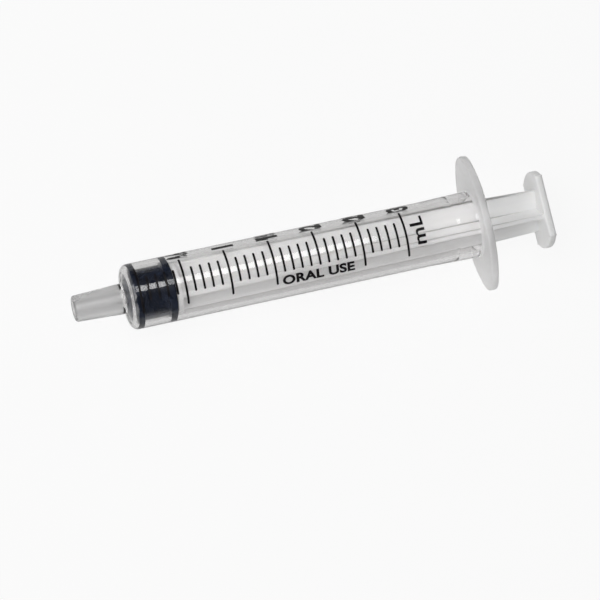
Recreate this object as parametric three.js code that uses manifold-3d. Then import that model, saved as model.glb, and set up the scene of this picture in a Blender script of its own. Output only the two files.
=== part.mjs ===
// Oral syringe: a clear barrel with an oral nozzle and a finger flange, a rubber stopper, and a plunger rod.
// Each piece is drawn about its own axis, X. X = 0 is the zero line of the scale, the nozzle points to -X
// and the thumb press to +X. The last section lays the syringe on a surface. Sizes are in millimetres.
import * as THREE from "three";
import { mergeVertices } from "three/addons/utils/BufferGeometryUtils.js";
import Module from "manifold-3d";

const wasm = await Module();
wasm.setup();

// ---------------------------------------------------------------- barrel
const BORE_RADIUS = 4.6;
const TUBE_WALL = 0.82;
const END_WALL = 0.5; // thickness of the front end beside the nozzle, along the axis
const END_SLOPE = 0.34; // inside the front end, axial length for each millimetre of radius
const END_FACE_SLOPE = 0.19; // the same outside, so the end thickens towards the shoulder
const END_START_X = -0.9; // where the bore turns into the conical end
const SHOULDER_ROUND = 1.2;
const NOZZLE_LENGTH = 8.35;
const NOZZLE_TIP_RADIUS = 2.15;
const NOZZLE_BASE_RADIUS = 2.53;
const NOZZLE_BORE_TIP_RADIUS = 1.15;
const NOZZLE_BORE_BASE_RADIUS = 1.0;
const FLARE_LENGTH = 8.4; // the stretch in front of the flange where the tube widens
const FLARE_RISE = 0.16;
const BEAD_HEIGHT = 0.12; // retaining bead inside the mouth
const BEAD_LENGTH = 1.2;
const MOUTH_LENGTH = 5.3; // from the middle of the bead to the back of the flange
const MOUTH_FLARE = 0.35;
const MOUTH_FLARE_LENGTH = 1.6;

// ---------------------------------------------------------------- finger flange
const FLANGE_WING = 5.92; // how far the flange stands out past the tube on each long side
const FLANGE_LIP = 1.02; // the same on each narrow side
const FLANGE_END_RADIUS = 3.6;
const FLANGE_FLAT = 2.4; // straight stretch in the middle of each long side, which the syringe lies on
const FLANGE_THICKNESS = 1.35;
const FLANGE_FILLET = 0.5;

// ---------------------------------------------------------------- stopper
const SEAL_CLEARANCE = 0.04; // between the ribs and the bore
const NOSE_GAP = 0.3; // left between the nose and the conical end when the plunger is home
const NOSE_TIP_RADIUS = 1.3;
const RIB_HEIGHT = 0.36; // how far the ribs stand out of the waist
const FRONT_RIB_LENGTH = 1.15;
const REAR_RIB_LENGTH = 1.4;
const STOPPER_LENGTH = 6.7; // from the front rib's front to the rear face
const SOCKET_DEPTH = 3.4;
const SOCKET_MOUTH_LENGTH = 1.2;

// ---------------------------------------------------------------- plunger rod
const STROKE = 47.5; // travel from fully pushed in to the retaining bead
const STOP_GAP = 0.15; // left between the rear rib and the bead at full stroke
const SNAP_CLEARANCE = 0.1; // all round the snap head in its socket
const HEAD_RADIUS = 2.0;
const NECK_RADIUS = 1.3;
const DISC_CLEARANCE = 0.4; // between the support disc and the bore
const DISC_THICKNESS = 1.0;
const FIN_THICKNESS = 1.0;
const FIN_CLEARANCE = 0.5; // between the fins' front and the bore
const FIN_WAIST_CLEARANCE = 0.68; // the same at the mouth of the barrel when the plunger is home
const FIN_END_CLEARANCE = 1.02; // the same at the thumb press
const FINGER_GAP = 9.8; // from the flange to the thumb press when the plunger is home
const PRESS_WING = 2.97; // how far the thumb press's round ends stand out past the fins
const PRESS_LIP = 0.47; // the same for its two flats
const PRESS_THICKNESS = 1.3;
const FIN_TURN = 28; // degrees between the fins and the thumb press's flats

// ---------------------------------------------------------------- shared
const EDGE_ROUND = 0.3;
const OVERRUN = 1; // how far a cutting solid runs past what it cuts
const SIDES = 48; // facets round every turned shape, the same on pieces that slide in each other
const ARC_STEPS = 3;

// ---------------------------------------------------------------- places along the axis, worked out from the sizes
const outerRadius = BORE_RADIUS + TUBE_WALL;
const nozzleBaseX = coneX(NOZZLE_BASE_RADIUS) - END_WALL;
const nozzleTipX = nozzleBaseX - NOZZLE_LENGTH;
const shoulderX = nozzleBaseX + END_FACE_SLOPE * (outerRadius - NOZZLE_BASE_RADIUS);
const ribRadius = BORE_RADIUS - SEAL_CLEARANCE;
const waistRadius = ribRadius - RIB_HEIGHT;
const frontRibX = coneX(waistRadius) + NOSE_GAP;
const stopperRearX = frontRibX + STOPPER_LENGTH;
const beadX = stopperRearX + STROKE + STOP_GAP + BEAD_LENGTH / 2;
const flangeRearX = beadX + MOUTH_LENGTH;
const flangeFrontX = flangeRearX - FLANGE_THICKNESS;
const flareX = flangeFrontX - FLARE_LENGTH;
const flareRadius = outerRadius + FLARE_RISE;
const flangeHalfLength = flareRadius + FLANGE_WING;
const flangeHalfWidth = flareRadius + FLANGE_LIP;
const discFrontX = stopperRearX + SNAP_CLEARANCE;
const finFrontX = discFrontX + DISC_THICKNESS;
const finEndHalfWidth = BORE_RADIUS - FIN_END_CLEARANCE;
const pressFrontX = flangeRearX + FINGER_GAP;
const pressRearX = pressFrontX + PRESS_THICKNESS;
const pressRadius = finEndHalfWidth + PRESS_WING;
const pressHalfWidth = finEndHalfWidth + PRESS_LIP;

// Place along the axis of the bore's conical end at a radius.
function coneX(radius) {
  return END_START_X - END_SLOPE * (BORE_RADIUS - radius);
}

// ---------------------------------------------------------------- solids
function solidOf(geometry) {
  const bare = geometry.clone();
  bare.deleteAttribute("normal");
  bare.deleteAttribute("uv");
  const merged = mergeVertices(bare, 1e-4);
  return new wasm.Manifold(
    new wasm.Mesh({
      numProp: 3,
      vertProperties: merged.attributes.position.array,
      triVerts: new Uint32Array(merged.index.array),
    }),
  );
}

function geometryOf(solid) {
  const mesh = solid.getMesh();
  const geometry = new THREE.BufferGeometry();
  geometry.setAttribute("position", new THREE.BufferAttribute(new Float32Array(mesh.vertProperties), 3));
  geometry.setIndex(new THREE.BufferAttribute(new Uint32Array(mesh.triVerts), 1));
  geometry.computeVertexNormals();
  return geometry;
}

// Corners are [x, radius, rounding]. A corner with a rounding becomes an arc, no longer than its sides allow.
function roundedOutline(corners) {
  const points = [];
  corners.forEach(([x, radius, rounding], i) => {
    const corner = new THREE.Vector2(x, radius);
    if (!rounding) {
      points.push(corner);
      return;
    }
    const before = new THREE.Vector2(corners[i - 1][0], corners[i - 1][1]).sub(corner);
    const after = new THREE.Vector2(corners[i + 1][0], corners[i + 1][1]).sub(corner);
    const room = 0.45 * Math.min(before.length(), after.length());
    before.normalize();
    after.normalize();
    const halfAngle = Math.acos(THREE.MathUtils.clamp(before.dot(after), -1, 1)) / 2;
    const reach = Math.min(rounding / Math.tan(halfAngle), room);
    const curve = new THREE.QuadraticBezierCurve(
      before.multiplyScalar(reach).add(corner),
      corner,
      after.multiplyScalar(reach).add(corner),
    );
    points.push(...curve.getPoints(ARC_STEPS));
  });
  return points;
}

// A solid of revolution about X from corners that run towards +X and start and end on the axis.
function turned(corners) {
  const profile = roundedOutline(corners).map((p) => new THREE.Vector2(p.y, p.x));
  const geometry = new THREE.LatheGeometry(profile, SIDES);
  geometry.rotateZ(-Math.PI / 2);
  return solidOf(geometry);
}

// A plate of an outline drawn in Y and Z, from frontX towards +X, with rounded edges.
function plate(shape, frontX, thickness) {
  const round = Math.min(EDGE_ROUND, 0.3 * thickness);
  const geometry = new THREE.ExtrudeGeometry(shape, {
    depth: thickness - 2 * round,
    bevelThickness: round,
    bevelSize: round,
    bevelOffset: -round,
    bevelSegments: 2,
    curveSegments: 12,
  });
  geometry.translate(0, 0, frontX + round);
  const alongX = new THREE.Matrix4().makeBasis(
    new THREE.Vector3(0, 1, 0),
    new THREE.Vector3(0, 0, 1),
    new THREE.Vector3(1, 0, 0),
  );
  return solidOf(geometry.applyMatrix4(alongX));
}

// ---------------------------------------------------------------- outlines
// An oval without a corner: two round ends, and two long sides that are each an arc, a short flat and an arc.
function flangeOutline() {
  const endY = flangeHalfLength - FLANGE_END_RADIUS;
  const flatY = FLANGE_FLAT / 2;
  const sideRadius =
    ((endY - flatY) ** 2 + flangeHalfWidth ** 2 - FLANGE_END_RADIUS ** 2) /
    (2 * (flangeHalfWidth - FLANGE_END_RADIUS));
  const sideZ = sideRadius - flangeHalfWidth;
  const turn = Math.atan2(sideZ, endY - flatY);
  const shape = new THREE.Shape();
  shape.absarc(endY, 0, FLANGE_END_RADIUS, -turn, turn);
  shape.absarc(flatY, -sideZ, sideRadius, turn, Math.PI / 2);
  shape.absarc(-flatY, -sideZ, sideRadius, Math.PI / 2, Math.PI - turn);
  shape.absarc(-endY, 0, FLANGE_END_RADIUS, Math.PI - turn, Math.PI + turn);
  shape.absarc(-flatY, sideZ, sideRadius, Math.PI + turn, 1.5 * Math.PI);
  shape.absarc(flatY, sideZ, sideRadius, 1.5 * Math.PI, 2 * Math.PI - turn);
  return shape;
}

// A circle cut by two flats.
function pressOutline() {
  const turn = Math.asin(pressHalfWidth / pressRadius);
  const shape = new THREE.Shape();
  shape.absarc(0, 0, pressRadius, -turn, turn);
  shape.absarc(0, 0, pressRadius, Math.PI - turn, Math.PI + turn);
  shape.closePath();
  return shape;
}

// One pair of fins, seen flat: widest at the support disc, drawn in towards the thumb press.
function finOutline() {
  const halves = [
    [finFrontX - DISC_THICKNESS / 2, BORE_RADIUS - FIN_CLEARANCE],
    [flangeRearX, BORE_RADIUS - FIN_WAIST_CLEARANCE],
    [pressFrontX + PRESS_THICKNESS / 2, finEndHalfWidth],
  ];
  const lower = halves.map(([x, half]) => new THREE.Vector2(x, -half));
  const upper = halves.map(([x, half]) => new THREE.Vector2(x, half)).reverse();
  return new THREE.Shape([...lower, ...upper]);
}

// ---------------------------------------------------------------- barrel
function barrelOutside() {
  const insideFlangeX = flangeFrontX + FLANGE_THICKNESS / 2;
  return turned([
    [nozzleTipX, 0],
    [nozzleTipX, NOZZLE_TIP_RADIUS, EDGE_ROUND],
    [nozzleBaseX, NOZZLE_BASE_RADIUS, EDGE_ROUND],
    [shoulderX, outerRadius, SHOULDER_ROUND],
    [flareX, outerRadius],
    [flangeFrontX - FLANGE_FILLET, flareRadius],
    [flangeFrontX, flareRadius + FLANGE_FILLET / 2],
    [insideFlangeX, flareRadius + FLANGE_FILLET],
    [insideFlangeX, 0],
  ]);
}

function barrelHollow() {
  const beadRadius = BORE_RADIUS - BEAD_HEIGHT;
  const mouthX = flangeRearX - MOUTH_FLARE_LENGTH;
  return turned([
    [nozzleTipX - OVERRUN, 0],
    [nozzleTipX - OVERRUN, NOZZLE_BORE_TIP_RADIUS],
    [nozzleTipX, NOZZLE_BORE_TIP_RADIUS],
    [coneX(NOZZLE_BORE_BASE_RADIUS), NOZZLE_BORE_BASE_RADIUS, EDGE_ROUND],
    [END_START_X, BORE_RADIUS, EDGE_ROUND],
    [beadX - BEAD_LENGTH / 2, BORE_RADIUS],
    [beadX, beadRadius, EDGE_ROUND],
    [beadX + BEAD_LENGTH / 2, BORE_RADIUS],
    [mouthX, BORE_RADIUS],
    [flangeRearX, BORE_RADIUS + MOUTH_FLARE],
    [flangeRearX + OVERRUN, BORE_RADIUS + MOUTH_FLARE],
    [flangeRearX + OVERRUN, 0],
  ]);
}

function barrel() {
  const flange = plate(flangeOutline(), flangeFrontX, FLANGE_THICKNESS);
  return barrelOutside().add(flange).subtract(barrelHollow());
}

// ---------------------------------------------------------------- stopper
function stopper() {
  const noseTipX = coneX(NOSE_TIP_RADIUS) + NOSE_GAP;
  const frontRibEndX = frontRibX + FRONT_RIB_LENGTH;
  const rearRibX = stopperRearX - REAR_RIB_LENGTH;
  const body = turned([
    [noseTipX, 0],
    [noseTipX, NOSE_TIP_RADIUS, EDGE_ROUND],
    [frontRibX, waistRadius],
    [frontRibX + RIB_HEIGHT / 2, ribRadius, EDGE_ROUND],
    [frontRibEndX - RIB_HEIGHT / 2, ribRadius, EDGE_ROUND],
    [frontRibEndX, waistRadius],
    [rearRibX, waistRadius],
    [rearRibX + RIB_HEIGHT / 2, ribRadius, EDGE_ROUND],
    [stopperRearX, ribRadius, EDGE_ROUND],
    [stopperRearX, 0],
  ]);
  const chamberEndX = stopperRearX - SOCKET_MOUTH_LENGTH;
  const mouthRadius = NECK_RADIUS + SNAP_CLEARANCE;
  const chamberRadius = HEAD_RADIUS + SNAP_CLEARANCE;
  const socket = turned([
    [stopperRearX - SOCKET_DEPTH, 0],
    [stopperRearX - SOCKET_DEPTH, mouthRadius],
    [chamberEndX, chamberRadius],
    [chamberEndX, mouthRadius],
    [stopperRearX + OVERRUN, mouthRadius],
    [stopperRearX + OVERRUN, 0],
  ]);
  return body.subtract(socket);
}

// ---------------------------------------------------------------- plunger rod
function snapHead() {
  const headFrontX = stopperRearX - SOCKET_DEPTH + SNAP_CLEARANCE;
  const headRearX = stopperRearX - SOCKET_MOUTH_LENGTH - SNAP_CLEARANCE;
  return turned([
    [headFrontX, 0],
    [headFrontX, NECK_RADIUS],
    [headRearX, HEAD_RADIUS],
    [headRearX, NECK_RADIUS],
    [discFrontX + DISC_THICKNESS / 2, NECK_RADIUS],
    [discFrontX + DISC_THICKNESS / 2, 0],
  ]);
}

function supportDisc() {
  const radius = BORE_RADIUS - DISC_CLEARANCE;
  return turned([
    [discFrontX, 0],
    [discFrontX, radius, EDGE_ROUND],
    [finFrontX, radius, EDGE_ROUND],
    [finFrontX, 0],
  ]);
}

function finPair(turnDegrees) {
  const geometry = new THREE.ExtrudeGeometry(finOutline(), { depth: FIN_THICKNESS, bevelEnabled: false });
  geometry.translate(0, 0, -FIN_THICKNESS / 2);
  geometry.rotateX(THREE.MathUtils.degToRad(turnDegrees));
  return solidOf(geometry);
}

function plungerRod() {
  return snapHead()
    .add(supportDisc())
    .add(finPair(FIN_TURN))
    .add(finPair(FIN_TURN + 90))
    .add(plate(pressOutline(), pressFrontX, PRESS_THICKNESS));
}

// ---------------------------------------------------------------- assembly
// The syringe lies along X on its flange's long side. The origin is under the middle of its whole length.
const syringe = new THREE.Group();
syringe.position.set(-(nozzleTipX + pressRearX) / 2, 0, flangeHalfWidth);

function addPiece(name, solid, finish) {
  const mesh = new THREE.Mesh(geometryOf(solid), new THREE.MeshStandardMaterial(finish));
  mesh.name = name;
  syringe.add(mesh);
}

addPiece("barrel", barrel(), { color: 0xe4e3e4, roughness: 0.15, metalness: 0, transparent: true, opacity: 0.35 });
addPiece("stopper", stopper(), { color: 0x17181c, roughness: 0.45, metalness: 0 });
addPiece("plunger_rod", plungerRod(), { color: 0xe9e9e7, roughness: 0.4, metalness: 0 });

export default syringe;
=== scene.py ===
"""Oral syringe: the visible barrel, stopper, plunger rod and printed scale, with their finishes and the stage.

Every piece is modelled about the barrel's axis, with X measured from the zero line of the scale, and is then
moved to its place in the frame. Sizes are in metres and angles in radians, as Blender keeps them.
"""

import math

import bmesh
import bpy
from bpy.props import FloatProperty, FloatVectorProperty, IntProperty, PointerProperty, StringProperty
from mathutils import Matrix, Vector


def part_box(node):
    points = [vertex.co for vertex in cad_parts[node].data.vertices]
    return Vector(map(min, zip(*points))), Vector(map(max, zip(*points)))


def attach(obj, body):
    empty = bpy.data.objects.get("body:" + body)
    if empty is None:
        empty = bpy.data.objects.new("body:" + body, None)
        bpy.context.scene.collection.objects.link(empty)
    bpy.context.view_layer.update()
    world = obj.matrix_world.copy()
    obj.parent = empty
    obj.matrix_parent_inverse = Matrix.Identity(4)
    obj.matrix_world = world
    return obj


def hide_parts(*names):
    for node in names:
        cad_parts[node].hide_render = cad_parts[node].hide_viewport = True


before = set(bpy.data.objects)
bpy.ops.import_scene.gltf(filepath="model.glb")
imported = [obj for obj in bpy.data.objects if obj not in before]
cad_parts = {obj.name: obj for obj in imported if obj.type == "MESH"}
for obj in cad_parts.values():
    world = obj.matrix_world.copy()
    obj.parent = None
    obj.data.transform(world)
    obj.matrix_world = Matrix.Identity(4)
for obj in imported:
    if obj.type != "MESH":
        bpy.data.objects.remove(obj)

bl_info = {
    "name": "Oral Syringe",
    "version": (1, 0, 0),
    "blender": (4, 5, 0),
    "location": "3D View > Sidebar > Oral Syringe",
    "description": "Builds an oral syringe with a printed scale around its packed frame",
    "category": "Add Mesh",
}

MM = 0.001
FULL_TURN = 2 * math.pi

# ---------------------------------------------------------------- places taken from the frame
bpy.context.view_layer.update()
BARREL_LOW, BARREL_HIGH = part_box("barrel")
STOPPER_LOW, STOPPER_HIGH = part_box("stopper")
ROD_LOW, ROD_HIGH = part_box("plunger_rod")
AXIS_Z = (BARREL_LOW.z + BARREL_HIGH.z) / 2
TIP_TO_ZERO_LINE = 10.4538 * MM
ZERO_X = BARREL_LOW.x + TIP_TO_ZERO_LINE
TIP_X = BARREL_LOW.x - ZERO_X
FLANGE_REAR_X = BARREL_HIGH.x - ZERO_X
STOPPER_FRONT_X = STOPPER_LOW.x - ZERO_X
STOPPER_REAR_X = STOPPER_HIGH.x - ZERO_X
HEAD_FRONT_X = ROD_LOW.x - ZERO_X
PRESS_REAR_X = ROD_HIGH.x - ZERO_X

SIDES = 240  # faces round the barrel
ARC_STEPS = 6  # edges in each rounded corner of a profile
CLEAR_ROOT = 0.6 * MM  # how far the clear surface runs onto the nozzle


def length_property(name, description, default):
    return FloatProperty(name=name, description=description, default=default, unit="LENGTH", precision=5)


def angle_property(name, description, default):
    return FloatProperty(name=name, description=description, default=math.radians(default), unit="ROTATION")


def colour_property(name, description, default):
    return FloatVectorProperty(
        name=name, description=description, default=default, size=3, subtype="COLOR", min=0.0, max=1.0
    )


# ---------------------------------------------------------------- what a user would change
class SyringeBarrelSizes(bpy.types.PropertyGroup):
    """Sizes of the clear barrel."""

    bore_radius: length_property("Bore radius", "Radius of the bore that holds the dose", 4.6 * MM)
    wall: length_property("Wall", "Thickness of the tube's wall", 0.82 * MM)
    nozzle_tip_radius: length_property("Nozzle tip radius", "Outside radius at the nozzle's end", 2.15 * MM)
    nozzle_base_radius: length_property("Nozzle base radius", "Outside radius at its root", 2.53 * MM)
    nozzle_base_x: length_property("Nozzle root", "Place of the nozzle's root along the axis", -2.1038 * MM)
    shoulder_x: length_property("Shoulder", "Where the end's face would meet the tube", -1.5547 * MM)
    hole_tip_radius: length_property("Hole at the tip", "Radius of the nozzle's hole at its end", 1.15 * MM)
    hole_base_radius: length_property("Hole at the root", "Radius of the nozzle's hole at its root", 1.0 * MM)
    cone_start_x: length_property("Cone start", "Where the bore turns into the conical end", -0.9 * MM)
    cone_end_x: length_property("Cone end", "Where the conical end meets the nozzle's hole", -2.124 * MM)
    flare_length: length_property("Flare", "Length of the widened stretch in front of the flange", 8.4 * MM)
    flare_rise: length_property("Flare rise", "How much the radius grows along it", 0.16 * MM)
    flange_thickness: length_property("Flange thickness", "Thickness of the finger flange", 1.35 * MM)
    flange_end_radius: length_property("Flange ends", "Radius of the flange's round ends", 3.6 * MM)
    flange_flat: length_property("Flange flat", "Straight stretch in the middle of each long side", 2.4 * MM)
    bead_to_rear: length_property("Bead", "From the retaining bead to the back of the flange", 5.3 * MM)
    bead_height: length_property("Bead height", "How far the retaining bead stands into the bore", 0.06 * MM)
    mouth_flare: length_property("Mouth", "How much the bore opens at the mouth", 0.35 * MM)


class SyringePlungerSizes(bpy.types.PropertyGroup):
    """Sizes of the stopper and the plunger rod."""

    squeeze: length_property("Squeeze", "How far the sealing ribs press into the bore's wall", 0.012 * MM)
    rib_height: length_property("Rib height", "How far the ribs stand out of the waist", 0.38 * MM)
    front_rib: length_property("Front rib", "Length of the front sealing rib", 1.15 * MM)
    rear_rib: length_property("Rear rib", "Length of the rear sealing rib", 1.4 * MM)
    nose_length: length_property("Nose", "Length of the stopper's conical nose", 0.986 * MM)
    nose_radius: length_property("Nose radius", "Radius of the nose's flat tip", 1.3 * MM)
    socket_depth: length_property("Socket", "Depth of the socket for the rod's head", 3.4 * MM)
    socket_mouth: length_property("Socket mouth", "Length of the socket's narrow mouth", 1.2 * MM)
    head_radius: length_property("Head radius", "Radius of the rod's snap head", 2.0 * MM)
    neck_radius: length_property("Neck radius", "Radius of the neck behind the head", 1.3 * MM)
    snap_clearance: length_property("Clearance", "Room left round the snap head", 0.1 * MM)
    disc_radius: length_property("Disc radius", "Radius of the disc behind the stopper", 4.2 * MM)
    disc_thickness: length_property("Disc", "Thickness of that disc", 1.0 * MM)
    fin_thickness: length_property("Fin thickness", "Thickness of the four fins", 1.0 * MM)
    fin_front: length_property("Fins, front", "Reach of the fins behind the disc", 4.1 * MM)
    fin_waist: length_property("Fins, middle", "Reach of the fins at the barrel's mouth", 3.92 * MM)
    fin_end: length_property("Fins, end", "Reach of the fins at the thumb press", 3.58 * MM)
    fin_turn: angle_property("Fin turn", "Angle between the fins and the thumb press's flats", 28)
    press_thickness: length_property("Press thickness", "Thickness of the thumb press", 1.3 * MM)
    press_half_width: length_property("Press half width", "From the axis to each flat", 4.05 * MM)


class SyringePrintSizes(bpy.types.PropertyGroup):
    """Sizes and places of the printing."""

    lines: IntProperty(name="Lines", description="Graduation lines after the zero line", default=30, min=1)
    major_every: IntProperty(name="Long line every", description="Short steps to each long line", default=5)
    dose: FloatProperty(name="Dose per line", description="Millilitres from line to line", default=0.1)
    scale_turn: angle_property("Scale turn", "How far the scale's middle is turned round from the top", 2.5)
    long_half_arc: angle_property("Long half arc", "Half the arc that a long line covers", 43.5)
    short_half_arc: angle_property("Short half arc", "Half the arc that a short line covers", 22.5)
    cut_back: angle_property("Cut back", "How much of the long line beside the words is left out", 20)
    line_width: length_property("Line width", "Width of the graduation lines", 0.37 * MM)
    ink_gap: length_property("Ink gap", "Space between ink and barrel", 0.008 * MM)
    ink_thickness: length_property("Ink thickness", "Thickness of the ink", 0.02 * MM)
    number_height: length_property("Number height", "Height of the numbers' digits", 3.45 * MM)
    number_turn: angle_property("Number start", "From the scale's middle to where the numbers start", 50)
    number_width: FloatProperty(name="Number width", description="Widening of the digits", default=0.78)
    unit_x: length_property("Unit place", "Middle of the unit mark along the axis", 47.25 * MM)
    unit_height: length_property("Unit height", "Height of the unit mark's capital", 2.3 * MM)
    unit_turn: angle_property("Unit turn", "From the scale's middle to the middle of the unit mark", 1.0)
    unit_width: FloatProperty(name="Unit width", description="Widening of the unit mark", default=1.24)
    words: StringProperty(name="Words", description="Generic wording beside the scale", default="ORAL USE")
    words_x: length_property("Words place", "Middle of the words along the axis", 29.6 * MM)
    words_height: length_property("Words height", "Height of the words' capitals", 1.6 * MM)
    words_turn: angle_property("Words turn", "From the scale's middle to the middle of the words", -38)
    words_width: FloatProperty(name="Words width", description="Widening of the words", default=1.2)


class SyringeColours(bpy.types.PropertyGroup):
    """Colours of the materials."""

    clear: colour_property("Clear plastic", "Tint of the barrel", (0.945, 0.94, 0.94))
    plunger: colour_property("Plunger", "Colour of the translucent rod", (0.9, 0.9, 0.895))
    rubber: colour_property("Stopper", "Colour of the stopper's rubber", (0.0055, 0.0085, 0.018))
    ink: colour_property("Ink", "Colour of the printing", (0.006, 0.005, 0.006))
    floor: colour_property("Floor", "Colour of the floor", (0.78, 0.78, 0.775))


class SyringeStage(bpy.types.PropertyGroup):
    """Camera and light."""

    tilt: angle_property("Tilt", "How far the camera stands towards the nozzle", 12)
    side: angle_property("Side", "How far the camera stands towards the flange's near wing", 6)
    roll: angle_property("Roll", "Slope of the barrel in the picture", 12.2)
    distance: length_property("Distance", "From the camera to the barrel's axis", 0.5)
    lens: FloatProperty(name="Lens", description="Focal length in millimetres", default=182, subtype="NONE")
    aside: length_property("Aside", "How far right of the middle the syringe lies in the picture", 2.03 * MM)
    above: length_property("Above", "How far above the middle it lies", 6.885 * MM)
    strip_power: FloatProperty(name="Strip power", description="Power of the strip light in watts", default=0.68)
    front_power: FloatProperty(name="Front power", description="Power of the front softbox in watts", default=2.55)
    fill_power: FloatProperty(name="Fill power", description="Power of the low fill light in watts", default=0.85)
    sky: FloatProperty(name="Sky", description="Strength of the even light from all round", default=0.07)


# ---------------------------------------------------------------- profiles and solids of revolution
def rounded(corners, closed=False):
    """Points of a profile from corners [x, radius, rounding], with each rounding as an arc."""
    points = []
    count = len(corners)
    for i, corner in enumerate(corners):
        here = Vector(corner[:2])
        rounding = corner[2] if len(corner) > 2 else 0
        if not rounding or (not closed and i in (0, count - 1)):
            points.append(here)
            continue
        back = Vector(corners[i - 1][:2]) - here
        ahead = Vector(corners[(i + 1) % count][:2]) - here
        room = 0.49 * min(back.length, ahead.length)
        back.normalize()
        ahead.normalize()
        half_angle = back.angle(ahead) / 2
        reach = min(rounding / math.tan(half_angle), room)
        radius = reach * math.tan(half_angle)
        centre = here + (back + ahead).normalized() * (radius / math.sin(half_angle))
        start = here + back * reach - centre
        sweep = start.angle_signed(here + ahead * reach - centre)
        for step in range(ARC_STEPS + 1):
            turn = Matrix.Rotation(-sweep * step / ARC_STEPS, 2)
            points.append(centre + turn @ start)
    return points


def spun(points, closed=False, sides=SIDES):
    """A bmesh of the profile turned once round X."""
    bm = bmesh.new()
    verts = [bm.verts.new((x, 0, radius)) for x, radius in points]
    edges = [bm.edges.new(pair) for pair in zip(verts, verts[1:])]
    if closed:
        edges.append(bm.edges.new((verts[-1], verts[0])))
    bmesh.ops.spin(
        bm, geom=verts + edges, axis=(1, 0, 0), cent=(0, 0, 0), angle=FULL_TURN, steps=sides, use_merge=True
    )
    clean(bm)
    return bm


def clean(bm):
    bmesh.ops.remove_doubles(bm, verts=bm.verts, dist=1e-7)
    bmesh.ops.dissolve_degenerate(bm, edges=bm.edges, dist=1e-8)
    bmesh.ops.recalc_face_normals(bm, faces=bm.faces)


def piece_from(bm, name, material, body, replaced=None, sharp=math.radians(35)):
    """Moves a finished bmesh to its place on the axis and makes it a piece that rides on a body."""
    bmesh.ops.translate(bm, verts=bm.verts, vec=(ZERO_X, 0, AXIS_Z))
    mesh = bpy.data.meshes.new(name)
    bm.to_mesh(mesh)
    bm.free()
    mesh.shade_smooth()
    mesh.set_sharp_from_angle(angle=sharp)
    mesh.materials.append(material)
    piece = bpy.data.objects.new(name, mesh)
    bpy.context.scene.collection.objects.link(piece)
    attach(piece, body)
    if replaced:
        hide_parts(replaced)
    return piece


def reach_of_circle(angle, centre_y, centre_z, radius):
    """Distance from the origin, in the direction of angle from Y towards Z, to the far side of a circle."""
    along = math.cos(angle) * centre_y + math.sin(angle) * centre_z
    across = math.cos(angle) * centre_z - math.sin(angle) * centre_y
    return along + math.sqrt(max(radius**2 - across**2, 0))


def oval_reach(y, z, half_length, half_width, end_radius, flat):
    """Distance from the axis to the flange's edge, an oval of arcs and two flats, in the direction of y and z."""
    angle = math.atan2(abs(z), abs(y))
    flat_y = flat / 2
    if math.tan(angle) * flat_y >= half_width:
        return half_width / math.sin(angle)
    end_y = half_length - end_radius
    span = end_y - flat_y
    side_radius = (span**2 + half_width**2 - end_radius**2) / (2 * (half_width - end_radius))
    side_z = side_radius - half_width
    turn = math.atan2(side_z, span)
    joint = math.atan2(end_radius * math.sin(turn), end_y + end_radius * math.cos(turn))
    if angle < joint:
        return reach_of_circle(angle, end_y, 0, end_radius)
    return reach_of_circle(angle, flat_y, -side_z, side_radius)


# ---------------------------------------------------------------- shader helpers
def node_group(name, inputs, outputs):
    """A new shader node group with its sockets. inputs are (name, default), outputs are names of values."""
    tree = bpy.data.node_groups.new(name, "ShaderNodeTree")
    for label, default in inputs:
        socket = tree.interface.new_socket(label, in_out="INPUT", socket_type="NodeSocketFloat")
        socket.default_value = default
    for label in outputs:
        tree.interface.new_socket(label, in_out="OUTPUT", socket_type="NodeSocketFloat")
    return tree, tree.nodes.new("NodeGroupInput"), tree.nodes.new("NodeGroupOutput")


def add_noise(tree, vector, scale, detail=3.0, roughness=0.5):
    noise = tree.nodes.new("ShaderNodeTexNoise")
    noise.inputs["Detail"].default_value = detail
    noise.inputs["Roughness"].default_value = roughness
    tree.links.new(vector, noise.inputs["Vector"])
    if isinstance(scale, bpy.types.NodeSocket):
        tree.links.new(scale, noise.inputs["Scale"])
    else:
        noise.inputs["Scale"].default_value = scale
    return noise


def remap(tree, value, low, high, from_low=0.0, from_high=1.0):
    node = tree.nodes.new("ShaderNodeMapRange")
    node.inputs["From Min"].default_value = from_low
    node.inputs["From Max"].default_value = from_high
    node.inputs["To Min"].default_value = low
    node.inputs["To Max"].default_value = high
    tree.links.new(value, node.inputs["Value"])
    return node.outputs["Result"]


def blend_colours(tree, factor, first, second):
    mix = tree.nodes.new("ShaderNodeMix")
    mix.data_type = "RGBA"
    mix.inputs["A"].default_value = (*first, 1)
    mix.inputs["B"].default_value = (*second, 1)
    tree.links.new(factor, mix.inputs["Factor"])
    return mix.outputs["Result"]


def bump_from(tree, height, distance, strength=1.0):
    bump = tree.nodes.new("ShaderNodeBump")
    bump.inputs["Distance"].default_value = distance
    bump.inputs["Strength"].default_value = strength
    tree.links.new(height, bump.inputs["Height"])
    return bump.outputs["Normal"]


def shade(colour, factor):
    return tuple(min(1.0, channel * factor) for channel in colour)


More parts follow.
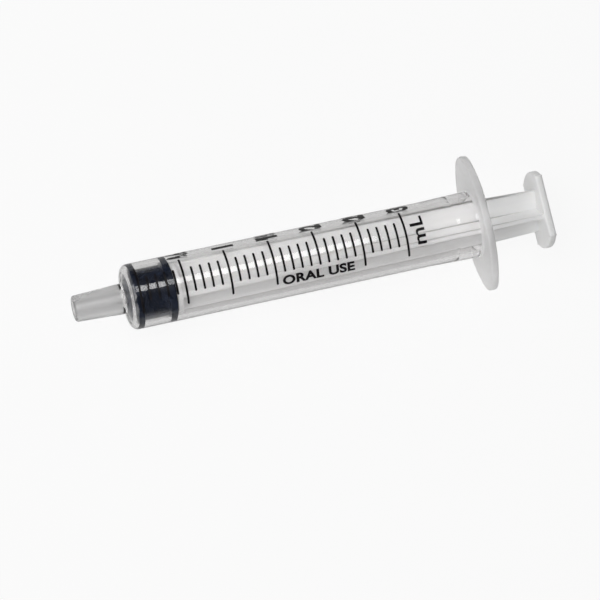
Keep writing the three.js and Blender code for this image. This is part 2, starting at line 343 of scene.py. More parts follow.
def flow_group():
    """Long streaks along the axis and a fine ripple, as moulded plastic has where it flowed."""
    name = "Moulding flow"
    if name in bpy.data.node_groups:
        return bpy.data.node_groups[name]
    tree, group_in, group_out = node_group(
        name, [("Streak Scale", 700.0), ("Ripple Scale", 2600.0)], ["Streaks", "Ripple"]
    )
    coordinates = tree.nodes.new("ShaderNodeTexCoord")
    for label, stretch in (("Streaks", (0.05, 1, 1)), ("Ripple", (0.35, 1, 1))):
        mapping = tree.nodes.new("ShaderNodeMapping")
        mapping.inputs["Scale"].default_value = stretch
        tree.links.new(coordinates.outputs["Object"], mapping.inputs["Vector"])
        scale = group_in.outputs["Streak Scale" if label == "Streaks" else "Ripple Scale"]
        noise = add_noise(tree, mapping.outputs["Vector"], scale, detail=1.5)
        tree.links.new(noise.outputs["Fac"], group_out.inputs[label])
    return tree


def handling_group():
    """Soft smudges and sparse fine specks, as a surface has that fingers have touched."""
    name = "Handling marks"
    if name in bpy.data.node_groups:
        return bpy.data.node_groups[name]
    tree, group_in, group_out = node_group(
        name, [("Smudge Scale", 180.0), ("Speck Scale", 4200.0)], ["Smudges", "Specks"]
    )
    coordinates = tree.nodes.new("ShaderNodeTexCoord")
    where = coordinates.outputs["Object"]
    smudge = add_noise(tree, where, group_in.outputs["Smudge Scale"], detail=2)
    soft = remap(tree, smudge.outputs["Fac"], 0, 1, 0.42, 0.68)
    tree.links.new(soft, group_out.inputs["Smudges"])
    speck = add_noise(tree, where, group_in.outputs["Speck Scale"], detail=1)
    sparse = remap(tree, speck.outputs["Fac"], 0, 1, 0.66, 0.74)
    tree.links.new(sparse, group_out.inputs["Specks"])
    return tree


def use_group(tree, group, **values):
    node = tree.nodes.new("ShaderNodeGroup")
    node.node_tree = group
    for label, value in values.items():
        node.inputs[label.replace("_", " ")].default_value = value
    return node


def new_material(name, base, roughness):
    """A material with one Principled shader, and its tree and shader."""
    material = bpy.data.materials.new(name)
    material.use_nodes = True
    tree = material.node_tree
    tree.nodes.clear()
    shader = tree.nodes.new("ShaderNodeBsdfPrincipled")
    output = tree.nodes.new("ShaderNodeOutputMaterial")
    tree.links.new(shader.outputs["BSDF"], output.inputs["Surface"])
    shader.inputs["Base Color"].default_value = (*base, 1)
    shader.inputs["Roughness"].default_value = roughness
    material.diffuse_color = (*base, 1)
    return material, tree, shader


# ---------------------------------------------------------------- materials
def add_values(tree, first, second):
    node = tree.nodes.new("ShaderNodeMath")
    tree.links.new(first, node.inputs[0])
    tree.links.new(second, node.inputs[1])
    return node.outputs["Value"]


def barrel_plastic(name, colour, roughness, transmission, streak_contrast):
    """Polypropylene that lets lamps shine through, with faint streaks along the tube. roughness is a range."""
    if name in bpy.data.materials:
        return bpy.data.materials[name]
    material, tree, shader = new_material(name, colour, roughness[0])
    shader.inputs["IOR"].default_value = 1.49
    shader.inputs["Transmission Weight"].default_value = transmission
    flow = use_group(tree, flow_group(), Streak_Scale=900.0, Ripple_Scale=2200.0)
    marks = use_group(tree, handling_group(), Smudge_Scale=160.0)
    darkest = shade(colour, 1 - streak_contrast)
    lightest = shade(colour, 1 + streak_contrast)
    tint = blend_colours(tree, flow.outputs["Streaks"], darkest, lightest)
    tree.links.new(tint, shader.inputs["Base Color"])
    haze = remap(tree, marks.outputs["Smudges"], *roughness)
    tree.links.new(haze, shader.inputs["Roughness"])
    normal = bump_from(tree, flow.outputs["Streaks"], 0.012 * MM, 0.15)
    tree.links.new(normal, shader.inputs["Normal"])
    lamp_path = tree.nodes.new("ShaderNodeLightPath")
    open_to_lamps = tree.nodes.new("ShaderNodeBsdfTransparent")
    open_to_lamps.inputs["Color"].default_value = (*shade(colour, 0.98), 1)
    mix = tree.nodes.new("ShaderNodeMixShader")
    tree.links.new(lamp_path.outputs["Is Shadow Ray"], mix.inputs["Fac"])
    tree.links.new(shader.outputs["BSDF"], mix.inputs[1])
    tree.links.new(open_to_lamps.outputs["BSDF"], mix.inputs[2])
    tree.links.new(mix.outputs["Shader"], tree.nodes["Material Output"].inputs["Surface"])
    return material


def clear_plastic(colours):
    """The tube: glossy and a little hazy."""
    return barrel_plastic("clear_polypropylene", colours.clear, (0.035, 0.08), 1.0, 0.05)


def milky_plastic(colours):
    """The flange, which is thick and comes out of a matt part of the mould."""
    return barrel_plastic("milky_polypropylene", colours.clear, (0.3, 0.42), 0.55, 0.08)


def frosted_shaded_plastic(colours):
    """The nozzle: clear but matt, with streaks towards its tip, and a tint darker than the tube's that is painted
    shade.
    """
    # The 0.88 darkening of the tint is painted shade; the matt roughness is the nozzle's own finish.
    return barrel_plastic("frosted_polypropylene", shade(colours.clear, 0.88), (0.26, 0.36), 0.94, 0.22)


def stopper_rubber(colours):
    """Black elastomer with a thin film of silicone, so half glossy, and a fine moulded grain."""
    name = "siliconed_rubber"
    if name in bpy.data.materials:
        return bpy.data.materials[name]
    material, tree, shader = new_material(name, colours.rubber, 0.35)
    shader.inputs["Specular IOR Level"].default_value = 0.3
    marks = use_group(tree, handling_group(), Smudge_Scale=420.0, Speck_Scale=5200.0)
    tint = blend_colours(tree, marks.outputs["Smudges"], colours.rubber, shade(colours.rubber, 1.9))
    tree.links.new(tint, shader.inputs["Base Color"])
    sheen = remap(tree, marks.outputs["Smudges"], 0.24, 0.40)
    tree.links.new(sheen, shader.inputs["Roughness"])
    normal = bump_from(tree, marks.outputs["Specks"], 0.01 * MM, 0.3)
    tree.links.new(normal, shader.inputs["Normal"])
    return material


def plunger_plastic(colours):
    """Translucent white polyethylene with a satin surface."""
    name = "translucent_polyethylene"
    if name in bpy.data.materials:
        return bpy.data.materials[name]
    material, tree, shader = new_material(name, colours.plunger, 0.35)
    shader.inputs["IOR"].default_value = 1.51
    shader.inputs["Subsurface Weight"].default_value = 0.6
    shader.inputs["Subsurface Radius"].default_value = (1.0, 0.98, 0.94)
    shader.inputs["Subsurface Scale"].default_value = 1.6 * MM
    flow = use_group(tree, flow_group(), Streak_Scale=600.0, Ripple_Scale=1800.0)
    marks = use_group(tree, handling_group(), Smudge_Scale=200.0)
    tint = blend_colours(tree, flow.outputs["Streaks"], shade(colours.plunger, 0.96), shade(colours.plunger, 1.04))
    tree.links.new(tint, shader.inputs["Base Color"])
    satin = remap(tree, marks.outputs["Smudges"], 0.30, 0.46)
    tree.links.new(satin, shader.inputs["Roughness"])
    normal = bump_from(tree, flow.outputs["Ripple"], 0.02 * MM, 0.35)
    tree.links.new(normal, shader.inputs["Normal"])
    return material


def printing_ink(colours):
    """Black ink, with a slightly uneven film."""
    name = "printing_ink"
    if name in bpy.data.materials:
        return bpy.data.materials[name]
    material, tree, shader = new_material(name, colours.ink, 0.4)
    shader.inputs["Specular IOR Level"].default_value = 0.2
    marks = use_group(tree, handling_group(), Smudge_Scale=900.0, Speck_Scale=6500.0)
    tint = blend_colours(tree, marks.outputs["Smudges"], colours.ink, shade(colours.ink, 2.0))
    tree.links.new(tint, shader.inputs["Base Color"])
    film = remap(tree, marks.outputs["Smudges"], 0.30, 0.48)
    tree.links.new(film, shader.inputs["Roughness"])
    normal = bump_from(tree, marks.outputs["Specks"], 0.004 * MM, 0.3)
    tree.links.new(normal, shader.inputs["Normal"])
    return material


def floor_paper(colours):
    """Pale paper. The camera sees it nearly white; light that goes through the plastic sees it pale grey."""
    material, tree, shader = new_material("floor_paper", colours.floor, 0.9)
    marks = use_group(tree, handling_group(), Smudge_Scale=25.0)
    tint = blend_colours(tree, marks.outputs["Smudges"], colours.floor, shade(colours.floor, 1.01))
    tree.links.new(tint, shader.inputs["Base Color"])
    glow = tree.nodes.new("ShaderNodeEmission")
    glow.inputs["Color"].default_value = (1, 1, 1, 1)
    glow.inputs["Strength"].default_value = 1.0
    path = tree.nodes.new("ShaderNodeLightPath")
    share = remap(tree, path.outputs["Is Camera Ray"], 0.14, 0.9)
    mix = tree.nodes.new("ShaderNodeMixShader")
    tree.links.new(share, mix.inputs["Fac"])
    tree.links.new(shader.outputs["BSDF"], mix.inputs[1])
    tree.links.new(glow.outputs["Emission"], mix.inputs[2])
    tree.links.new(mix.outputs["Shader"], tree.nodes["Material Output"].inputs["Surface"])
    return material


# ---------------------------------------------------------------- barrel
def barrel_profile(sizes, disc_radius, edge_round, fillet):
    """Corners of the whole wall: out along the outside, over the flange and back through the bore."""
    outer = sizes.bore_radius + sizes.wall
    flange_front = FLANGE_REAR_X - sizes.flange_thickness
    flared = outer + sizes.flare_rise
    bead_x = FLANGE_REAR_X - sizes.bead_to_rear
    bead_half = 0.6 * MM
    mouth_x = FLANGE_REAR_X - 1.6 * MM
    matt_end = sizes.nozzle_base_x - CLEAR_ROOT
    matt_share = CLEAR_ROOT / (sizes.nozzle_base_x - TIP_X)
    matt_radius = sizes.nozzle_base_radius - (sizes.nozzle_base_radius - sizes.nozzle_tip_radius) * matt_share
    hole_radius = sizes.hole_base_radius + (sizes.hole_tip_radius - sizes.hole_base_radius) * matt_share
    return [
        (matt_end, hole_radius),
        (TIP_X, sizes.hole_tip_radius, 0.25 * MM),
        (TIP_X, sizes.nozzle_tip_radius, 0.45 * MM),
        (matt_end, matt_radius),
        (sizes.nozzle_base_x, sizes.nozzle_base_radius, 0.3 * MM),
        (sizes.shoulder_x, outer, 1.2 * MM),
        (flange_front - sizes.flare_length, outer, 30 * MM),
        (flange_front - 1.6 * MM, flared, 8 * MM),
        (flange_front, flared, fillet),
        (flange_front, disc_radius, edge_round),
        (FLANGE_REAR_X, disc_radius, edge_round),
        (FLANGE_REAR_X, sizes.bore_radius + sizes.mouth_flare, 0.3 * MM),
        (mouth_x, sizes.bore_radius, 3 * MM),
        (bead_x + bead_half, sizes.bore_radius, 0.5 * MM),
        (bead_x, sizes.bore_radius - sizes.bead_height, 0.6 * MM),
        (bead_x - bead_half, sizes.bore_radius, 0.5 * MM),
        (sizes.cone_start_x, sizes.bore_radius, 0.5 * MM),
        (sizes.cone_end_x, sizes.hole_base_radius, 0.4 * MM),
    ]


def draw_flange_out(bm, sizes, inner_radius, disc_radius, edge_round):
    """Moves the round flange's rings in or out to its oval edge. The rounded rim keeps its section."""
    flange_front = FLANGE_REAR_X - sizes.flange_thickness
    for vert in bm.verts:
        y, z = vert.co.y, vert.co.z
        radius = math.hypot(y, z)
        if radius <= inner_radius or vert.co.x < flange_front - 0.01 * MM:
            continue
        half_width = BARREL_HIGH.z - AXIS_Z
        edge = oval_reach(y, z, BARREL_HIGH.y, half_width, sizes.flange_end_radius, sizes.flange_flat)
        share = min(1.0, (radius - inner_radius) / (disc_radius - edge_round - inner_radius))
        moved = radius + (edge - disc_radius) * share
        vert.co.y *= moved / radius
        vert.co.z *= moved / radius


class OBJECT_OT_syringe_barrel(bpy.types.Operator):
    """Model the clear barrel with its nozzle, bore, retaining bead and oval finger flange"""

    bl_idname = "object.syringe_barrel"
    bl_label = "Barrel"

    def execute(self, context):
        sizes = context.scene.syringe_barrel
        disc_radius = 9 * MM
        edge_round = 0.35 * MM
        fillet = 0.45 * MM
        corners = barrel_profile(sizes, disc_radius, edge_round, fillet)
        bm = spun(rounded(corners, closed=True), closed=True)
        inner_radius = sizes.bore_radius + sizes.wall + sizes.flare_rise + fillet + 0.03 * MM
        draw_flange_out(bm, sizes, inner_radius, disc_radius, edge_round)
        outside = sizes.bore_radius + sizes.wall + sizes.flare_rise / 2
        fillet_x = FLANGE_REAR_X - sizes.flange_thickness - fillet
        for face in bm.faces:
            centre = face.calc_center_median()
            if centre.x < sizes.nozzle_base_x - CLEAR_ROOT:
                face.material_index = 1
            elif centre.x > fillet_x and math.hypot(centre.y, centre.z) > outside:
                face.material_index = 2
        colours = context.scene.syringe_colours
        barrel = piece_from(bm, "barrel_moulding", clear_plastic(colours), "barrel", "barrel")
        barrel.data.materials.append(frosted_shaded_plastic(colours))
        barrel.data.materials.append(milky_plastic(colours))
        return {"FINISHED"}


# ---------------------------------------------------------------- stopper
class OBJECT_OT_syringe_stopper(bpy.types.Operator):
    """Model the rubber stopper with its conical nose, two sealing ribs and snap socket"""

    bl_idname = "object.syringe_stopper"
    bl_label = "Stopper"

    def execute(self, context):
        sizes = context.scene.syringe_plunger
        rib = context.scene.syringe_barrel.bore_radius + sizes.squeeze
        waist = rib - sizes.rib_height
        rib_x = STOPPER_FRONT_X + sizes.nose_length
        rear_rib_x = STOPPER_REAR_X - sizes.rear_rib
        chamber_end = STOPPER_REAR_X - sizes.socket_mouth
        mouth = sizes.neck_radius + sizes.snap_clearance
        corners = [
            (STOPPER_FRONT_X, 0),
            (STOPPER_FRONT_X, sizes.nose_radius, 0.4 * MM),
            (rib_x, waist, 0.08 * MM),
            (rib_x + 0.1 * MM, rib, 0.1 * MM),
            (rib_x + sizes.front_rib - 0.1 * MM, rib, 0.1 * MM),
            (rib_x + sizes.front_rib, waist, 0.15 * MM),
            (rear_rib_x, waist, 0.2 * MM),
            (rear_rib_x + 0.12 * MM, rib, 0.12 * MM),
            (STOPPER_REAR_X, rib, 0.25 * MM),
            (STOPPER_REAR_X, mouth, 0.2 * MM),
            (chamber_end, mouth, 0.1 * MM),
            (chamber_end, sizes.head_radius + sizes.snap_clearance, 0.1 * MM),
            (STOPPER_REAR_X - sizes.socket_depth, mouth, 0.1 * MM),
            (STOPPER_REAR_X - sizes.socket_depth, 0),
        ]
        material = stopper_rubber(context.scene.syringe_colours)
        bm = spun(rounded(corners), sides=160)
        piece_from(bm, "stopper_moulding", material, "stopper", "stopper")
        return {"FINISHED"}


# ---------------------------------------------------------------- plunger rod
def rod_front(sizes):
    """The snap head, neck and support disc, turned as one."""
    head_rear = STOPPER_REAR_X - sizes.socket_mouth - sizes.snap_clearance
    disc_front = STOPPER_REAR_X + sizes.snap_clearance
    corners = [
        (HEAD_FRONT_X, 0),
        (HEAD_FRONT_X, sizes.neck_radius, 0.2 * MM),
        (head_rear, sizes.head_radius, 0.15 * MM),
        (head_rear, sizes.neck_radius, 0.1 * MM),
        (disc_front, sizes.neck_radius, 0.1 * MM),
        (disc_front, sizes.disc_radius, 0.25 * MM),
        (disc_front + sizes.disc_thickness, sizes.disc_radius, 0.25 * MM),
        (disc_front + sizes.disc_thickness, 0),
    ]
    return spun(rounded(corners), sides=96)


def rod_cross(sizes):
    """The cross-shaped rod: one section drawn out along the axis and drawn in towards the thumb press."""
    half = sizes.fin_thickness / 2
    front = STOPPER_REAR_X + sizes.snap_clearance + sizes.disc_thickness / 2
    stations = [
        (FLANGE_REAR_X, sizes.fin_waist),
        (PRESS_REAR_X - sizes.press_thickness / 2, sizes.fin_end),
    ]
    bm = bmesh.new()
    arm = [(sizes.fin_front, -half), (sizes.fin_front, half), (half, half)]
    section = []
    for quarter in range(4):
        turn = Matrix.Rotation(quarter * math.pi / 2, 2)
        section += [turn @ Vector(corner) for corner in arm]
    verts = [bm.verts.new((front, y, z)) for y, z in section]
    bm.faces.new(verts)
    faces = bm.faces[:]
    reach = sizes.fin_front
    place = front
    for x, fin in stations:
        made = bmesh.ops.extrude_face_region(bm, geom=faces)["geom"]
        moved = [item for item in made if isinstance(item, bmesh.types.BMVert)]
        faces = [item for item in made if isinstance(item, bmesh.types.BMFace)]
        bmesh.ops.translate(bm, verts=moved, vec=(x - place, 0, 0))
        bmesh.ops.scale(bm, verts=moved, vec=(1, fin / reach, fin / reach))
        reach = fin
        place = x
    clean(bm)
    lengthwise = [e for e in bm.edges if abs((e.verts[0].co - e.verts[1].co).normalized().x) > 0.9]
    bmesh.ops.bevel(
        bm, geom=lengthwise, offset=0.16 * MM, segments=3, profile=0.5, affect="EDGES", material=-1
    )
    bmesh.ops.rotate(bm, verts=bm.verts, cent=(0, 0, 0), matrix=Matrix.Rotation(sizes.fin_turn, 3, "X"))
    clean(bm)
    return bm


def thumb_press(sizes):
    """A round plate cut by two flats, with its rim rounded."""
    bm = bmesh.new()
    front = PRESS_REAR_X - sizes.press_thickness
    upright = Matrix.Translation((front, 0, 0)) @ Matrix.Rotation(math.pi / 2, 4, "Y")
    bmesh.ops.create_circle(bm, cap_ends=True, segments=144, radius=ROD_HIGH.y, matrix=upright)
    for side in (-1, 1):
        bmesh.ops.bisect_plane(
            bm,
            geom=bm.verts[:] + bm.edges[:] + bm.faces[:],
            plane_co=(0, 0, side * sizes.press_half_width),
            plane_no=(0, 0, side),
            clear_outer=True,
        )
    made = bmesh.ops.extrude_face_region(bm, geom=bm.faces[:])["geom"]
    moved = [item for item in made if isinstance(item, bmesh.types.BMVert)]
    bmesh.ops.translate(bm, verts=moved, vec=(sizes.press_thickness, 0, 0))
    clean(bm)
    corners = [e for e in bm.edges if abs((e.verts[0].co - e.verts[1].co).normalized().x) > 0.9]
    corners = [e for e in corners if e.calc_face_angle(0) > math.radians(20)]
    bmesh.ops.bevel(bm, geom=corners, offset=0.5 * MM, segments=4, profile=0.5, affect="EDGES", material=-1)
    rims = [e for e in bm.edges if abs(e.verts[0].co.x - e.verts[1].co.x) < 1e-7]
    rims = [e for e in rims if e.calc_face_angle(0) > math.radians(60)]
    bmesh.ops.bevel(bm, geom=rims, offset=0.35 * MM, segments=5, profile=0.5, affect="EDGES", material=-1)
    clean(bm)
    return bm


def joined_solids(parts):
    """One closed bmesh that is the union of several."""
    objects = []
    for i, bm in enumerate(parts):
        mesh = bpy.data.meshes.new(f"part_{i}")
        bm.to_mesh(mesh)
        bm.free()
        part = bpy.data.objects.new(f"part_{i}", mesh)
        bpy.context.scene.collection.objects.link(part)
        objects.append(part)
    whole = objects[0]
    for part in objects[1:]:
        union = whole.modifiers.new("union", "BOOLEAN")
        union.operation = "UNION"
        union.solver = "EXACT"
        union.object = part
    evaluated = whole.evaluated_get(bpy.context.evaluated_depsgraph_get())
    result = bmesh.new()
    result.from_mesh(evaluated.to_mesh())
    evaluated.to_mesh_clear()
    for part in objects:
        mesh = part.data
        bpy.data.objects.remove(part)
        bpy.data.meshes.remove(mesh)
    bmesh.ops.remove_doubles(result, verts=result.verts, dist=1e-6)
    bmesh.ops.recalc_face_normals(result, faces=result.faces)
    return result


class OBJECT_OT_syringe_rod(bpy.types.Operator):
    """Model the plunger rod with its snap head, support disc, four fins and thumb press"""

    bl_idname = "object.syringe_rod"
    bl_label = "Plunger rod"

    def execute(self, context):
        sizes = context.scene.syringe_plunger
        bm = joined_solids([rod_cross(sizes), rod_front(sizes), thumb_press(sizes)])
        material = plunger_plastic(context.scene.syringe_colours)
        piece_from(bm, "plunger_moulding", material, "plunger_rod", "plunger_rod")
        return {"FINISHED"}


# ---------------------------------------------------------------- printing
def wrap_ink(bm, sizes, radius):
    """Gives flat faces the ink's thickness and bends them round the barrel. X is along it, Y goes round."""
    bmesh.ops.remove_doubles(bm, verts=bm.verts, dist=1e-7)
    step = 0.2 * MM
    low = min(vert.co.y for vert in bm.verts)
    high = max(vert.co.y for vert in bm.verts)
    cuts = math.ceil((high - low) / step)
    for cut in range(1, cuts):
        bmesh.ops.bisect_plane(
            bm,
            geom=bm.verts[:] + bm.edges[:] + bm.faces[:],
            dist=1e-8,
            plane_co=(0, low + (high - low) * cut / cuts, 0),
            plane_no=(0, 1, 0),
        )
    made = bmesh.ops.extrude_face_region(bm, geom=bm.faces[:], use_keep_orig=True)["geom"]
    raised = [item for item in made if isinstance(item, bmesh.types.BMVert)]
    bmesh.ops.translate(bm, verts=raised, vec=(0, 0, sizes.ink_thickness))
    bmesh.ops.recalc_face_normals(bm, faces=bm.faces)
    for vert in bm.verts:
        angle = vert.co.y / radius
        out = radius + sizes.ink_gap + vert.co.z
        vert.co.y = out * math.sin(angle)
        vert.co.z = out * math.cos(angle)


def add_line(bm, x, middle, half_arc, width, radius):
    """One graduation line, flat, with round ends."""
    half = half_arc * radius
    end = width / 2
    steps = 8
    outline = []
    for side in (1, -1):
        centre_y = middle * radius + side * (half - end)
        for step in range(steps + 1):
            angle = math.pi * step / steps
            outline.append((x + side * end * math.cos(angle), centre_y + side * end * math.sin(angle)))
    bm.faces.new([bm.verts.new((px, py, 0)) for px, py in outline])


def line_pitch(barrel, sizes):
    """Distance along the bore that holds one line's dose; a millilitre is a cubic centimetre."""
    return sizes.dose * 1e-6 / (math.pi * barrel.bore_radius**2)


class OBJECT_OT_syringe_lines(bpy.types.Operator):
    """Print the graduation lines, with a long one at each half millilitre"""

    bl_idname = "object.syringe_lines"
    bl_label = "Graduation lines"

    def execute(self, context):
        sizes = context.scene.syringe_print
        barrel = context.scene.syringe_barrel
        radius = barrel.bore_radius + barrel.wall
        pitch = line_pitch(barrel, sizes)
        beside_words = 4 * sizes.major_every
        bm = bmesh.new()
        for line in range(sizes.lines + 1):
            long = line % sizes.major_every == 0
            half = sizes.long_half_arc if long else sizes.short_half_arc
            cut = sizes.cut_back if line == beside_words else 0
            middle = sizes.scale_turn + cut / 2
            add_line(bm, line * pitch, middle, half - cut / 2, sizes.line_width, radius)
        wrap_ink(bm, sizes, radius)
        material = printing_ink(context.scene.syringe_colours)
        piece_from(bm, "scale_lines", material, "barrel")
        return {"FINISHED"}


def extents(bm):
    """Lowest and highest X, then lowest and highest Y."""
    xs = [vert.co.x for vert in bm.verts]
    ys = [vert.co.y for vert in bm.verts]
    return (min(xs), max(xs)), (min(ys), max(ys))


def flat_text(body, cap_height, boldness, widening):
    """A bmesh of flat lettering, and its extents. The letters read along X with their tops towards Y."""
    curve = bpy.data.curves.new("lettering", "FONT")
    curve.body = body
    curve.size = cap_height / 0.73
    curve.offset = boldness * cap_height
    curve.space_character = 1.04
    curve.resolution_u = 6
    letters = bpy.data.objects.new("lettering", curve)
    bpy.context.scene.collection.objects.link(letters)
    evaluated = letters.evaluated_get(bpy.context.evaluated_depsgraph_get())
    bm = bmesh.new()
    bm.from_mesh(evaluated.to_mesh())
    evaluated.to_mesh_clear()
    bpy.data.objects.remove(letters)
    bpy.data.curves.remove(curve)
    bmesh.ops.scale(bm, verts=bm.verts, vec=(widening, 1, 1))
    return bm, *extents(bm)


def place_text(bm, x_range, y_range, quarter_turn, anchor, place):
    """Turns the lettering by quarter turns and puts its anchor, as shares of its width and height, at a place."""
    ax = x_range[0] + (x_range[1] - x_range[0]) * anchor[0]
    ay = y_range[0] + (y_range[1] - y_range[0]) * anchor[1]
    bmesh.ops.translate(bm, verts=bm.verts, vec=(-ax, -ay, 0))
    turn = Matrix.Rotation(quarter_turn * math.pi / 2, 3, "Z")
    bmesh.ops.rotate(bm, verts=bm.verts, cent=(0, 0, 0), matrix=turn)
    bmesh.ops.translate(bm, verts=bm.verts, vec=(*place, 0))


def merge_into(target, source):
    """Adds one bmesh to another and frees it."""
    mesh = bpy.data.meshes.new("carried")
    source.to_mesh(mesh)
    source.free()
    target.from_mesh(mesh)
    bpy.data.meshes.remove(mesh)


def half_sign(height, boldness, widening):
    """A bmesh of the sign for a half: a small 1 and a small 2 with a slash between them."""
    width = 0.9 * height * widening
    sign = bmesh.new()
    small = 0.54 * height
    parts = (
        ("1", small, 1.4 * boldness, (0, 1), (0, height)),
        ("/", height, 0.5 * boldness, (0.5, 0.5), (width / 2, height / 2)),
        ("2", small, 1.4 * boldness, (1, 0), (width, 0)),
    )
    for body, size, weight, anchor, place in parts:
        part, xs, ys = flat_text(body, size, weight, widening)
        place_text(part, xs, ys, 0, anchor, place)
        merge_into(sign, part)
    return sign


def half_step_label(count, height, boldness, widening):
    """A bmesh of the label for a number of half millilitres, such as one and a half, and its extents."""
    label = bmesh.new()
    right = 0
    if count > 1:
        digit, xs, ys = flat_text(str(count // 2), height, boldness, widening)
        place_text(digit, xs, ys, 0, (0, 0), (0, 0))
        merge_into(label, digit)
        right = xs[1] - xs[0] + 0.12 * height
    if count % 2:
        sign = half_sign(height, boldness, widening)
        bmesh.ops.translate(sign, verts=sign.verts, vec=(right, 0, 0))
        merge_into(label, sign)
    return label, *extents(label)


class OBJECT_OT_syringe_numbers(bpy.types.Operator):
    """Print the numbers beside the long graduation lines"""

    bl_idname = "object.syringe_numbers"
    bl_label = "Numbers"

    def execute(self, context):
        sizes = context.scene.syringe_print
        barrel = context.scene.syringe_barrel
        radius = barrel.bore_radius + barrel.wall
        step = sizes.major_every * line_pitch(barrel, sizes)
        start = (sizes.scale_turn + sizes.number_turn) * radius
        bm = bmesh.new()
        for count in range(1, sizes.lines // sizes.major_every + 1):
            label, xs, ys = half_step_label(count, sizes.number_height, 0.065, sizes.number_width)
            place_text(label, xs, ys, 1, (0, 0.5), (count * step + 0.15 * MM, start))
            merge_into(bm, label)
        wrap_ink(bm, sizes, radius)
        material = printing_ink(context.scene.syringe_colours)
        piece_from(bm, "scale_numbers", material, "barrel")
        return {"FINISHED"}


class OBJECT_OT_syringe_words(bpy.types.Operator):
    """Print the unit mark and the generic wording"""

    bl_idname = "object.syringe_words"
    bl_label = "Unit and words"

    def execute(self, context):
        sizes = context.scene.syringe_print
        barrel = context.scene.syringe_barrel
        radius = barrel.bore_radius + barrel.wall
        material = printing_ink(context.scene.syringe_colours)
        unit, xs, ys = flat_text("mL", sizes.unit_height, 0.025, sizes.unit_width)
        unit_y = (sizes.scale_turn + sizes.unit_turn) * radius
        place_text(unit, xs, ys, 1, (0.5, 0.5), (sizes.unit_x, unit_y))
        wrap_ink(unit, sizes, radius)
        piece_from(unit, "unit_mark", material, "barrel")
        words, xs, ys = flat_text(sizes.words, sizes.words_height, 0.055, sizes.words_width)
        words_y = (sizes.scale_turn + sizes.words_turn) * radius
        place_text(words, xs, ys, 0, (0.5, 0.5), (sizes.words_x, words_y))
        wrap_ink(words, sizes, radius)
        piece_from(words, "generic_words", material, "barrel")
        return {"FINISHED"}


# ---------------------------------------------------------------- stage
def aim(obj, back, right, target, distance):
    """Puts an object at a distance from a target, looking at it along -back, with right to its right."""
    up = back.cross(right)
    turn = Matrix((right, up, back)).transposed()
    obj.matrix_world = Matrix.Translation(target + back * distance) @ turn.to_4x4()


def add_camera(stage):
    back = Vector((
        -math.sin(stage.tilt),
        -math.sin(stage.side) * math.cos(stage.tilt),
        math.cos(stage.side) * math.cos(stage.tilt),
    ))
    along = (Vector((1, 0, 0)) - back * back.x).normalized()
    right = Matrix.Rotation(-stage.roll, 3, back) @ along
    up = back.cross(right)
    camera = bpy.data.objects.new("camera", bpy.data.cameras.new("camera"))
    camera.data.lens = stage.lens
    camera.data.sensor_width = 36
    camera.data.clip_start = 0.01
    camera.data.clip_end = 20
    bpy.context.scene.collection.objects.link(camera)
    target = Vector((0, 0, AXIS_Z)) - right * stage.aside - up * stage.above
    aim(camera, back, right, target, stage.distance)
    bpy.context.scene.camera = camera


def add_area_light(name, turn, lean, length, width, power):
    """A softbox aimed at the syringe. It is turned round the barrel from the top and leans towards the press."""
    light = bpy.data.lights.new(name, "AREA")
    light.shape = "RECTANGLE"
    light.size = length
    light.size_y = width
    light.energy = power
    lamp = bpy.data.objects.new(name, light)
    bpy.context.scene.collection.objects.link(lamp)
    back = Vector((math.sin(lean), math.cos(lean) * math.sin(turn), math.cos(lean) * math.cos(turn)))
    right = (Vector((1, 0, 0)) - back * back.x).normalized()
    aim(lamp, back, right, Vector((0, 0, AXIS_Z)), 0.65)
    lamp.visible_camera = False


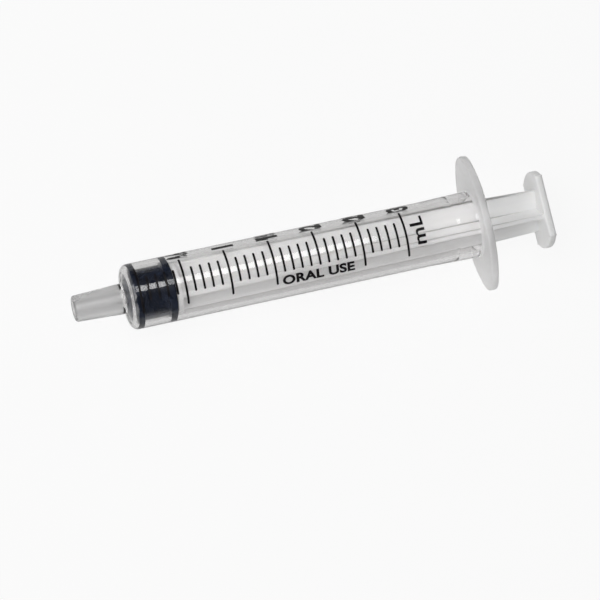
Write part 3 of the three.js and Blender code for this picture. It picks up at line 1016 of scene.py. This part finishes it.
class SCENE_OT_syringe_stage(bpy.types.Operator):
    """Set up the floor, the soft lights and the camera"""

    bl_idname = "scene.syringe_stage"
    bl_label = "Stage"

    def execute(self, context):
        scene = context.scene
        stage = scene.syringe_stage
        bm = bmesh.new()
        bmesh.ops.create_grid(bm, x_segments=8, y_segments=8, size=4.0)
        mesh = bpy.data.meshes.new("floor")
        bm.to_mesh(mesh)
        bm.free()
        mesh.materials.append(floor_paper(scene.syringe_colours))
        floor = bpy.data.objects.new("floor", mesh)
        scene.collection.objects.link(floor)
        world = bpy.data.worlds.new("studio")
        world.use_nodes = True
        background = world.node_tree.nodes["Background"]
        background.inputs["Color"].default_value = (1, 1, 1, 1)
        background.inputs["Strength"].default_value = stage.sky
        scene.world = world
        add_area_light("strip", math.radians(15), math.radians(4.4), 0.2, 0.22, stage.strip_power)
        add_area_light("front_softbox", math.radians(8), math.radians(-30), 0.5, 0.6, stage.front_power)
        add_area_light("low_fill", math.radians(-62), math.radians(-28), 0.5, 0.4, stage.fill_power)
        add_camera(stage)
        scene.view_settings.view_transform = "Standard"
        return {"FINISHED"}


# ---------------------------------------------------------------- panel and registration
class VIEW3D_PT_syringe(bpy.types.Panel):
    """Buttons and sizes of the oral syringe"""

    bl_idname = "VIEW3D_PT_syringe"
    bl_label = "Oral Syringe"
    bl_space_type = "VIEW_3D"
    bl_region_type = "UI"
    bl_category = "Oral Syringe"

    def draw(self, context):
        layout = self.layout
        for operator in OPERATORS:
            layout.operator(operator.bl_idname, text=operator.bl_label)
        for name in GROUPS:
            group = getattr(context.scene, name)
            box = layout.box()
            box.label(text=group.bl_rna.description)
            for prop in group.bl_rna.properties:
                if prop.identifier not in {"rna_type", "name"}:
                    box.prop(group, prop.identifier)


GROUPS = {
    "syringe_barrel": SyringeBarrelSizes,
    "syringe_plunger": SyringePlungerSizes,
    "syringe_print": SyringePrintSizes,
    "syringe_colours": SyringeColours,
    "syringe_stage": SyringeStage,
}
OPERATORS = (
    OBJECT_OT_syringe_barrel,
    OBJECT_OT_syringe_stopper,
    OBJECT_OT_syringe_rod,
    OBJECT_OT_syringe_lines,
    OBJECT_OT_syringe_numbers,
    OBJECT_OT_syringe_words,
    SCENE_OT_syringe_stage,
)


def register():
    for cls in (*GROUPS.values(), *OPERATORS, VIEW3D_PT_syringe):
        bpy.utils.register_class(cls)
    for name, cls in GROUPS.items():
        setattr(bpy.types.Scene, name, PointerProperty(type=cls))


def unregister():
    for name in GROUPS:
        delattr(bpy.types.Scene, name)
    for cls in reversed((*GROUPS.values(), *OPERATORS, VIEW3D_PT_syringe)):
        bpy.utils.unregister_class(cls)


def main():
    register()
    bpy.ops.object.syringe_barrel()
    bpy.ops.object.syringe_stopper()
    bpy.ops.object.syringe_rod()
    bpy.ops.object.syringe_lines()
    bpy.ops.object.syringe_numbers()
    bpy.ops.object.syringe_words()
    bpy.ops.scene.syringe_stage()


if __name__ == "__main__":
    main()
